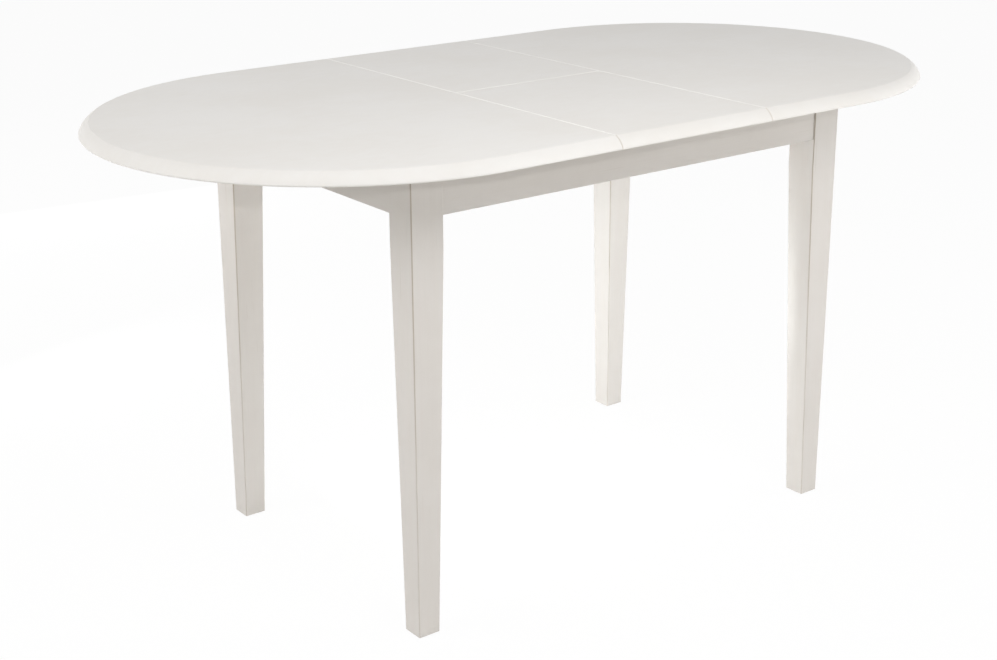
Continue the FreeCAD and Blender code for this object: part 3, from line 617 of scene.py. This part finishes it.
def makePivot(mesh, place, length, wide, marks, look):  # marks: the head's end, a collar's start and end
    head, *collar = marks
    shank, lead = look["shank"], look["lead"]
    levels = [(share * head, even(reach * wide)) for share, reach in look["dome"]]
    levels.append((head, even(shank)))
    if collar:
        start, end = collar
        levels += [(start, even(shank)), (start, even(wide - lead)), (start + lead, even(wide)),
                   (end - lead, even(wide)), (end, even(wide - lead)), (end, even(shank))]
    levels += [(length - lead, even(shank)), (length, even(shank - lead))]
    rings = tower(mesh, place, look["sides"], levels)
    cap(mesh, place, rings[-1], length)
    turns = [math.pi / 3 * step for step in range(6)]
    corners = [Vector((math.cos(turn), math.sin(turn))) * look["socket"] for turn in turns]
    sink(mesh, place, rings[0], corners, 0, 1.0, head * look["socketShare"])


for node, body in pivotSets.items():
    mesh = bmesh.new()
    for points in solidsOf(node):
        place, length = seat(points, (1, 0, 0))
        local = [place.inverted() @ point for point in points]
        marks = sorted({round(spot.z, 6) for spot in local})[1:-1]
        wide = max(spot.to_2d().length for spot in local)
        makePivot(mesh, place, length, wide, marks, pivotLook)
    addPiece("socket_head_" + node, mesh, "steel", body, node)


nutLook = {
    "corner": 0.0073, "bore": 0.004, "mouth": 0.0047, "faceShare": 0.95, "slope": 0.55, "sides": 48,
    "steps": (0.0, 0.00015, 0.0003, 0.00045, 0.0006, 0.0008),
}


def makeNut(mesh, place, height, look):
    flat = look["corner"] * math.cos(math.pi / 6)

    def hexagon(level):  # six sides, turned down to a cone at both faces
        cone = flat * look["faceShare"] + min(level, height - level) / look["slope"]
        return lambda turn: min(cone, flat / math.cos(turn % (math.pi / 3) - math.pi / 6))

    marks = list(look["steps"]) + [height - step for step in reversed(look["steps"])]
    outside = tower(mesh, place, look["sides"], [(mark, hexagon(mark)) for mark in marks])
    lead = look["mouth"] - look["bore"]
    inside = tower(mesh, place, look["sides"], [
        (0.0, even(look["mouth"])), (lead, even(look["bore"])),
        (height - lead, even(look["bore"])), (height, even(look["mouth"]))])
    bridge(mesh, outside[0], inside[0])
    bridge(mesh, outside[-1], inside[-1])


boltLook = {  # end: heights and shares of the core, tip: shares of the point and the wood thread's core
    "radius": 0.004, "core": 0.0034, "pitch": 0.00125, "turnSteps": 4, "end": ((0.0, 0.9), (0.0006, 1.0)),
    "tail": 0.036, "plain": 0.006, "woodCore": 0.0029, "woodPitch": 0.003, "woodTurnSteps": 6,
    "point": 0.005, "tip": (0.2, 0.4), "sides": 24,
}


def makeHangerBolt(mesh, place, length, look):
    radius, tail, shoulder = look["radius"], look["tail"], look["tail"] + look["plain"]
    levels = [(height, even(look["core"] * share)) for height, share in look["end"]]
    step = look["pitch"] / look["turnSteps"]
    counts = range(look["turnSteps"], int(tail / step))
    levels += threadLevels(look["core"], radius, look["pitch"], 0.0, step, counts)
    levels += [(tail, even(radius)), (shoulder, even(radius))]
    step = look["woodPitch"] / look["woodTurnSteps"]
    counts = range(1, int((length - look["point"] - tail - look["plain"]) / step) + 1)
    levels += threadLevels(look["woodCore"], radius, look["woodPitch"], shoulder, step, counts)
    levels.append((length - look["point"] * look["tip"][0], even(look["woodCore"] * look["tip"][1])))
    rings = tower(mesh, place, look["sides"], levels)
    cap(mesh, place, rings[0], 0.0)
    cap(mesh, place, rings[-1], length)


def outward(points):  # along the diagonal, from the table's middle to the corner
    low, high = boxOf(points)
    return Vector((math.copysign(1, low.x + high.x), math.copysign(1, low.y + high.y), 0))


nuts, bolts = bmesh.new(), bmesh.new()
for points in solidsOf("leg_bolt_nuts"):
    place, height = seat(points, outward(points))
    corner = max((place.inverted() @ point for point in points), key=lambda spot: spot.to_2d().length)
    makeNut(nuts, place @ Matrix.Rotation(math.atan2(corner.y, corner.x), 4, "Z"), height, nutLook)
for points in solidsOf("leg_hanger_bolts"):
    makeHangerBolt(bolts, *seat(points, outward(points)), boltLook)
addPiece("chamfered_leg_nuts", nuts, "steel", "base", "leg_bolt_nuts")
addPiece("threaded_hanger_bolts", bolts, "steel", "base", "leg_hanger_bolts")


glideLook = {  # profile: height above the floor, then radius
    "first": 0.0005, "last": 0.016, "sides": 48,
    "profile": ((0.0005, 0.0030), (0.0, 0.0036), (0.0, 0.0105), (0.0003, 0.0114), (0.0009, 0.01185),
                (0.0015, 0.0120), (0.0020, 0.0120), (0.0020, 0.0015), (0.0135, 0.0015)),
}
bufferLook = {  # profile: height off the leg, then radius
    "first": 0.0, "last": 0.0016, "sides": 40,
    "profile": ((0.0, 0.0045), (0.00035, 0.0045), (0.0008, 0.00425), (0.00115, 0.0037),
                (0.0014, 0.0028), (0.00155, 0.0016)),
}


def makeTurned(mesh, place, look):  # a profile turned about Z, closed at its first and last heights
    levels = [(height, even(radius)) for height, radius in look["profile"]]
    rings = tower(mesh, place, look["sides"], levels)
    cap(mesh, place, rings[0], look["first"])
    cap(mesh, place, rings[-1], look["last"])


for corner in turnBrace:
    mesh = bmesh.new()
    for points in solidsOf("foot_glide_" + corner):
        makeTurned(mesh, seat(points, (0, 0, 1))[0], glideLook)
    addPiece("moulded_glide_" + corner, mesh, "nylon", "base", "foot_glide_" + corner)

mesh = bmesh.new()
for points in solidsOf("slide_buffers"):
    makeTurned(mesh, seat(points, (-points[0].x, 0, 0))[0], bufferLook)
addPiece("domed_slide_buffers", mesh, "rubber", "base", "slide_buffers")


feltLook = {  # roll: how far in and how far down, as shares of the rounded edge
    "corner": 0.004, "cornerSteps": 6, "edge": 0.0011, "fray": 0.00014, "frayTurn": 37, "frayRise": 900,
    "roll": ((0.0, 1.0), (0.13, 0.5), (0.4, 0.15), (1.0, 0.0)),
}


def makeFeltStrip(mesh, low, high, look):
    middle, half = (low + high) / 2, (high - low) / 2

    def loop(inset, height):  # a rounded rectangle, its sides a little uneven as cut felt is
        spots = []
        for side, (alongX, alongY) in enumerate(((1, 1), (-1, 1), (-1, -1), (1, -1))):
            centreX = middle.x + alongX * (half.x - look["corner"])
            centreY = middle.y + alongY * (half.y - look["corner"])
            for step in range(look["cornerSteps"] + 1):
                turn = (side + step / look["cornerSteps"]) * math.pi / 2
                wave = math.sin(look["frayTurn"] * turn + look["frayRise"] * height)
                reach = look["corner"] - inset - look["fray"] * (1 + wave)
                spots.append((centreX + reach * math.cos(turn), centreY + reach * math.sin(turn), height))
        return [mesh.verts.new(spot) for spot in spots]

    edge = look["edge"]
    loops = [loop(0.0, low.z), loop(0.0, low.z + half.z)]
    loops += [loop(edge * inset, high.z - edge * drop) for inset, drop in look["roll"]]
    for first, second in zip(loops, loops[1:]):
        bridge(mesh, first, second)
    mesh.faces.new(loops[0])
    mesh.faces.new(loops[-1])


mesh = bmesh.new()
for points in solidsOf("leaf_rest_pads"):
    makeFeltStrip(mesh, *boxOf(points), feltLook)
addPiece("pressed_felt_strips", mesh, "felt", "base", "leaf_rest_pads")
print("small parts: screws, pivots, nuts, bolts, glides, buffers and felt")


# floor: pale, white to the eye, and it keeps a soft shadow
floorLook = {
    "half": 30.0, "paper": (0.90, 0.895, 0.885), "fibre": (0.86, 0.855, 0.845),
    "fibreSize": 90.0, "fibreShow": 0.04, "whiteness": 0.96,
}


def shownWhite(finish):  # 1 for the rays that see the background itself
    camera, glossy, through = [finish.add("ShaderNodeLightPath", out=name) for name in
                               ("Is Camera Ray", "Is Glossy Ray", "Is Transmission Ray")]
    return finish.add("ShaderNodeClamp", None, {0: camera + glossy + through})


def makeFloor(look):
    half = look["half"]
    corners = [(-half, -half, 0), (half, -half, 0), (half, half, 0), (-half, half, 0)]
    mesh = bpy.data.meshes.new("studio_floor")
    mesh.from_pydata(corners, [], [(0, 1, 2, 3)])
    floor = bpy.data.objects.new("studio_floor", mesh)
    scene.collection.objects.link(floor)
    finish = Finish(bpy.data.materials.new("studio_paper"))
    fibre = finish.noise(finish.place(), look["fibreSize"], 3.0)
    paper = finish.blend(fibre * look["fibreShow"], look["paper"], look["fibre"])
    matt = finish.add("ShaderNodeBsdfDiffuse", None, {"Color": paper})
    glow = finish.add("ShaderNodeEmission", None, {"Color": (1, 1, 1), "Strength": 1.0})
    white = shownWhite(finish) * look["whiteness"]
    mixed = finish.add("ShaderNodeMixShader", None, {0: white, 1: matt, 2: glow})
    finish.add("ShaderNodeOutputMaterial", None, {"Surface": mixed})
    mesh.materials.append(finish.owner)


makeFloor(floorLook)
print("floor laid")


# light: a faint dome, soft boxes round the table and two weak ones under it
dome = {"colour": (1.0, 0.995, 0.985), "strength": 0.12}
lamps = {
    "nearCamera": {"spot": (-1.72, -2.16, 1.44), "size": 0.035, "power": 8.7},
    "overFront": {"spot": (-0.3, -1.5, 2.1), "size": 1.2, "power": 22.8},
    "overBack": {"spot": (0.3, 1.9, 2.6), "size": 1.6, "power": 6.0},
    "overRight": {"spot": (1.5, 0.4, 3.0), "size": 1.6, "power": 4.2},
    "leftSide": {"spot": (-3.4, 0.2, 1.9), "size": 1.6, "power": 28.3},
    "leftBehind": {"spot": (-3.0, 1.2, 2.0), "size": 1.4, "power": 30.6},
    "rightSide": {"spot": (3.2, -0.4, 1.6), "size": 1.6, "power": 5.5},
    "rightFront": {"spot": (2.4, -1.2, 0.9), "size": 1.2, "power": 3.0},
    "rightFar": {"spot": (2.6, -2.6, 1.9), "size": 1.6, "power": 22.3},
    "lowRight": {"spot": (3.0, -2.2, 0.5), "size": 1.2, "power": 10.7},
    "nearRight": {"spot": (1.4, -0.9, 0.3), "size": 0.7, "power": 2.6},
    "lowFront": {"spot": (1.2, -3.2, 0.5), "size": 1.2, "power": 7.6},
    "behind": {"spot": (0.8, 3.2, 1.8), "size": 1.6, "power": 9.0},
    "behindLeft": {"spot": (-1.4, 2.8, 0.6), "size": 1.2, "power": 9.4},
    "lowBehind": {"spot": (0.3, 2.4, 0.35), "size": 1.0, "power": 6.0},
    "nearBehind": {"spot": (-0.4, 1.3, 0.4), "size": 0.6, "power": 4.0},
    "underRight": {"spot": (-0.30, 0.11, 0.33), "aim": (0.45, 0.11, 0.34), "size": 0.6, "power": 1.65,
                   "colour": (0.87, 0.945, 1.0)},
    "underBack": {"spot": (0.1, -0.26, 0.33), "aim": (0.1, 0.26, 0.34), "size": 0.5, "power": 1.1,
                  "colour": (0.90, 0.96, 1.0)},
}
plainLamp = {"aim": (0, 0, 0.5), "colour": (1, 1, 1)}  # for lamps that name no aim or colour of their own


def makeDome(look):
    world = bpy.data.worlds.new("studio")
    scene.world = world
    finish = Finish(world)
    soft = finish.add("ShaderNodeBackground", None,
                      {"Color": look["colour"], "Strength": look["strength"]})
    white = finish.add("ShaderNodeBackground", None, {"Color": (1, 1, 1), "Strength": 1.0})
    mixed = finish.add("ShaderNodeMixShader", None, {0: shownWhite(finish), 1: soft, 2: white})
    finish.add("ShaderNodeOutputWorld", None, {"Surface": mixed})


def makeLamp(name, look):
    light = bpy.data.lights.new(name, "AREA")
    light.shape = "DISK"
    light.size = look["size"]
    light.energy = look["power"]
    light.color = look["colour"]
    lamp = bpy.data.objects.new(name, light)
    lamp.location = look["spot"]
    line = Vector(look["aim"]) - Vector(look["spot"])
    lamp.rotation_euler = line.to_track_quat("-Z", "Y").to_euler()
    lamp.visible_camera = False
    lamp.visible_glossy = False
    scene.collection.objects.link(lamp)


makeDome(dome)
for name, look in lamps.items():
    makeLamp(name, {**plainLamp, **look})
print("light:", ", ".join(lamps))


# camera: the photograph's own standpoint
eye = {
    "spot": (-1.676470, -2.115093, 1.273229), "azimuth": -37.2305, "elevation": 18.2476, "roll": -0.2451,
    "focal": 1668.63, "centre": (-1.309, -35.487), "frameWidth": 997, "sensor": 36.0, "farthest": 200,
}


def makeCamera(look):
    azimuth, elevation, roll = [math.radians(look[key]) for key in ("azimuth", "elevation", "roll")]
    right = Vector((math.cos(azimuth), math.sin(azimuth), 0))
    back = Vector((math.sin(azimuth) * math.cos(elevation), -math.cos(azimuth) * math.cos(elevation),
                   math.sin(elevation)))
    up = back.cross(right)
    across = right * math.cos(roll) + up * math.sin(roll)
    data = bpy.data.cameras.new("standpoint")
    data.sensor_width = look["sensor"]
    data.lens = look["focal"] * look["sensor"] / look["frameWidth"]
    data.shift_x = -look["centre"][0] / look["frameWidth"]
    data.shift_y = look["centre"][1] / look["frameWidth"]
    data.clip_end = look["farthest"]
    camera = bpy.data.objects.new("standpoint", data)
    turn = Matrix((across, back.cross(across), back)).transposed()
    camera.matrix_world = Matrix.Translation(look["spot"]) @ turn.to_4x4()
    scene.collection.objects.link(camera)
    scene.camera = camera


makeCamera(eye)
print("camera placed")
